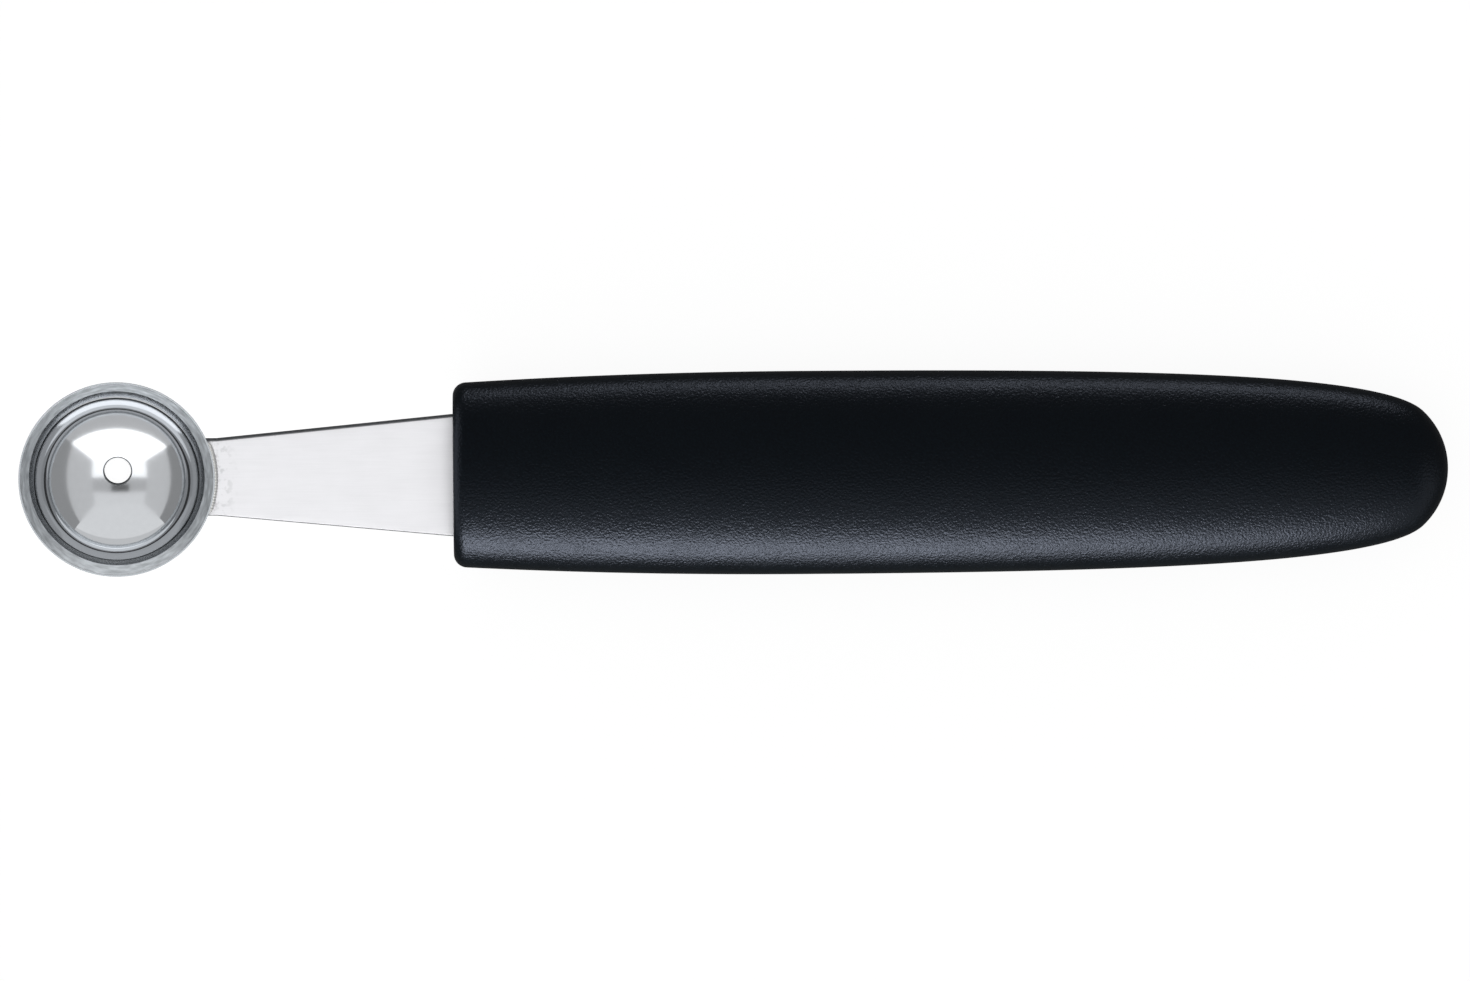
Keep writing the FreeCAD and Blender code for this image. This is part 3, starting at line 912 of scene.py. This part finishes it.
class BALLER_OT_handle(bpy.types.Operator):
    """Lofts the oval handle with its moulding seams and the slot that holds the tang"""

    bl_idname = "baller.handle"
    bl_label = "Handle"

    def execute(self, context):
        settings = context.scene.baller
        handle = settings.handle
        builder = bmesh.new()
        flattening = handle.thickness / handle.width
        middle_z = handle.thickness / 2
        turns = oval_turns(handle)

        skin = []
        for point in handle_flank(handle):
            ring = []
            for turn, seam_share in turns:
                half_width = point.y + handle.seam_height * seam_share
                across = half_width * math.cos(turn)
                up = middle_z + point.y * flattening * math.sin(turn)
                ring.append((handle.front_x + point.x, across, up))
            skin.append(add_ring(builder, ring))
        for ring, following in zip(skin, skin[1:]):
            bridge(builder, ring, following)
        close_with_fan(builder, skin[-1], (handle.front_x + handle.length, 0, middle_z))

        stations = [station for station in strip_stations(settings) if station[0] >= handle.front_x]
        slot = []
        for station in stations:
            ring, _ = strip_ring(settings, *station, grown=handle.slot_gap)
            slot.append(add_ring(builder, ring))
        for ring, following in zip(slot, slot[1:]):
            bridge(builder, ring, following)
        slot_end = (settings.shank.tang_end_x + handle.slot_gap, 0, strip_middle_z(settings.shank))
        close_with_fan(builder, slot[-1], slot_end)

        edges = [
            builder.edges.get((ring[index], ring[(index + 1) % len(ring)]))
            for ring in (skin[0], slot[0])
            for index in range(len(ring))
        ]
        bmesh.ops.triangle_fill(builder, use_beauty=True, edges=edges, normal=(-1, 0, 0))
        materials = [moulded_plastic("handle_moulding", handle.plastic, handle.sheen)]
        add_piece("handle_moulding", "handle", builder, materials)
        return {"FINISHED"}


def add_panel(name, middle, facing, size, brightness, receivers):
    """Adds a soft light panel that the camera doesn't see, for its receivers; brightness 1 is white."""
    lamp = bpy.data.lights.new(name, "AREA")
    lamp.shape = "RECTANGLE"
    lamp.size, lamp.size_y = size
    lamp.energy = brightness * math.pi * size[0] * size[1]
    panel = bpy.data.objects.new(name, lamp)
    panel.matrix_world = Matrix.Translation(middle) @ facing.to_track_quat("-Z", "Y").to_matrix().to_4x4()
    panel.visible_camera = False
    panel.light_linking.receiver_collection = receivers
    bpy.context.scene.collection.objects.link(panel)


def add_floor(settings, receivers):
    """Adds the floor under the tool, whose lift only the camera and its receivers see."""
    half = settings.floor_size / 2
    builder = bmesh.new()
    corners = [(-half, -half, 0), (half, -half, 0), (half, half, 0), (-half, half, 0)]
    builder.faces.new(add_ring(builder, corners))
    mesh = bpy.data.meshes.new("floor")
    builder.to_mesh(mesh)
    builder.free()
    mesh.materials.append(floor_paint(settings))
    floor = bpy.data.objects.new("floor", mesh)
    floor.light_linking.receiver_collection = receivers
    bpy.context.scene.collection.objects.link(floor)


def add_camera(settings):
    """Adds the camera over the tool, leaning over its far side."""
    target = Vector((settings.target_x, settings.target_y, settings.target_z))
    data = bpy.data.cameras.new("camera")
    data.lens = settings.lens_mm
    distance = settings.frame_width * data.lens / data.sensor_width
    data.clip_end = CLIP_REACH * distance
    back = Vector((0, math.sin(settings.tilt), math.cos(settings.tilt)))
    lean = Matrix.Rotation(-settings.tilt, 4, "X") @ Matrix.Rotation(-settings.roll, 4, "Z")
    camera = bpy.data.objects.new("camera", data)
    camera.matrix_world = Matrix.Translation(target + back * distance) @ lean
    bpy.context.scene.collection.objects.link(camera)
    bpy.context.scene.camera = camera


def add_sky(settings):
    """Sets the dim room round the tent."""
    world = bpy.data.worlds.new("room")
    world.use_nodes = True
    background = world.node_tree.nodes["Background"]
    background.inputs["Color"].default_value = (1, 1, 1, 1)
    background.inputs["Strength"].default_value = settings.sky_level
    bpy.context.scene.world = world


def add_cloth(name, low, high, facing, brightness, receivers):
    """Adds a lit cloth of the tent between two opposite corners."""
    low, high = Vector(low), Vector(high)
    size = [reach for reach in high - low if reach > 0]
    add_panel(name, (low + high) / 2, Vector(facing), size, brightness, receivers)


def add_tent(settings, scoop_x, receivers):
    """Adds the light tent round the metal: four sides with skirts, and a ceiling with the camera's slot."""
    top = settings.tent_top
    ahead, behind = scoop_x - settings.ahead_reach, scoop_x + settings.behind_reach
    near, far = -settings.near_reach, settings.far_reach
    sides = [
        ("near", (ahead, near), (behind, near), (0, 1, 0)),
        ("far", (ahead, far), (behind, far), (0, -1, 0)),
        ("ahead", (ahead, near), (ahead, far), (1, 0, 0)),
        ("behind", (behind, near), (behind, far), (-1, 0, 0)),
    ]
    for side, low, high, facing in sides:
        hem = getattr(settings, f"{side}_hem")
        cloth_level = getattr(settings, f"{side}_level")
        skirt_level = getattr(settings, f"{side}_skirt")
        add_cloth(f"tent_{side}", (*low, hem), (*high, top), facing, cloth_level, receivers)
        add_cloth(f"skirt_{side}", (*low, settings.skirt_foot), (*high, hem), facing, skirt_level, receivers)

    opening_start, opening_end = scoop_x - settings.opening_start, scoop_x - settings.opening_end
    slot_near, slot_far = settings.slot_near, settings.slot_far
    opening_near, opening_far = settings.opening_near, settings.opening_far
    ceilings = [
        ("near", (ahead, near), (behind, slot_near), settings.near_ceiling),
        ("slot_near", (ahead, slot_near), (behind, opening_near), settings.slot_level),
        ("slot_ahead", (ahead, opening_near), (opening_end, opening_far), settings.slot_level),
        ("slot_behind", (opening_start, opening_near), (behind, opening_far), settings.slot_level),
        ("slot_far", (ahead, opening_far), (behind, slot_far), settings.slot_level),
        ("far", (ahead, slot_far), (behind, far), settings.far_ceiling),
    ]
    for strip, low, high, brightness in ceilings:
        add_cloth(f"ceiling_{strip}", (*low, top), (*high, top), (0, 0, -1), brightness, receivers)


def add_handle_lights(settings, handle, receivers):
    """Adds the handle's strip lights and banks, each turned to the nearest place of its axis."""
    for name in ("near_strip", "near_bank", "far_strip", "far_bank", "ahead_bank", "behind_bank"):
        middle = Vector(getattr(settings, f"{name}_at"))
        size = getattr(settings, f"{name}_size")
        brightness = getattr(settings, f"{name}_level")
        axis_x = min(max(middle.x, handle.front_x), handle.front_x + handle.length)
        facing = Vector((axis_x, 0, handle.thickness / 2)) - middle
        add_panel(name, middle, facing, size, brightness, receivers)


class BALLER_OT_stage(bpy.types.Operator):
    """Sets up the camera, the pale floor and the lights"""

    bl_idname = "baller.stage"
    bl_label = "Stage"

    def execute(self, context):
        settings = context.scene.baller.stage
        bpy.context.scene.view_settings.view_transform = "Standard"
        metal = bpy.data.collections.new("metal")
        for name in ("scoop", "shank_strip", "weld_beads"):
            metal.objects.link(bpy.data.objects[name])
        add_floor(settings, metal)
        add_camera(settings)
        add_sky(settings)
        add_tent(settings, context.scene.baller.scoop.axis_x, metal)
        moulding = bpy.data.collections.new("moulding")
        moulding.objects.link(bpy.data.objects["handle_moulding"])
        add_handle_lights(settings, context.scene.baller.handle, moulding)
        return {"FINISHED"}


class BALLER_PT_panel(bpy.types.Panel):
    """Lists the pieces of the tool in the 3D view's sidebar"""

    bl_idname = "BALLER_PT_panel"
    bl_label = "Melon Baller"
    bl_space_type = "VIEW_3D"
    bl_region_type = "UI"
    bl_category = "Baller"

    def draw(self, context):
        for group, operator in OPERATORS.items():
            box = self.layout.box()
            box.operator(operator)
            settings = getattr(context.scene.baller, group)
            for name in settings.__annotations__:
                box.prop(settings, name)


OPERATORS = {
    "scoop": "baller.scoop",
    "shank": "baller.shank",
    "weld": "baller.weld",
    "handle": "baller.handle",
    "stage": "baller.stage",
}

CLASSES = (
    ScoopSettings,
    ShankSettings,
    WeldSettings,
    HandleSettings,
    StageSettings,
    BallerSettings,
    BALLER_OT_scoop,
    BALLER_OT_shank,
    BALLER_OT_weld,
    BALLER_OT_handle,
    BALLER_OT_stage,
    BALLER_PT_panel,
)


def register():
    for entry in CLASSES:
        bpy.utils.register_class(entry)
    bpy.types.Scene.baller = PointerProperty(type=BallerSettings)


def unregister():
    del bpy.types.Scene.baller
    for entry in reversed(CLASSES):
        bpy.utils.unregister_class(entry)


def main():
    register()
    bpy.ops.baller.scoop()
    bpy.ops.baller.shank()
    bpy.ops.baller.weld()
    bpy.ops.baller.handle()
    bpy.ops.baller.stage()


if __name__ == "__main__":
    main()
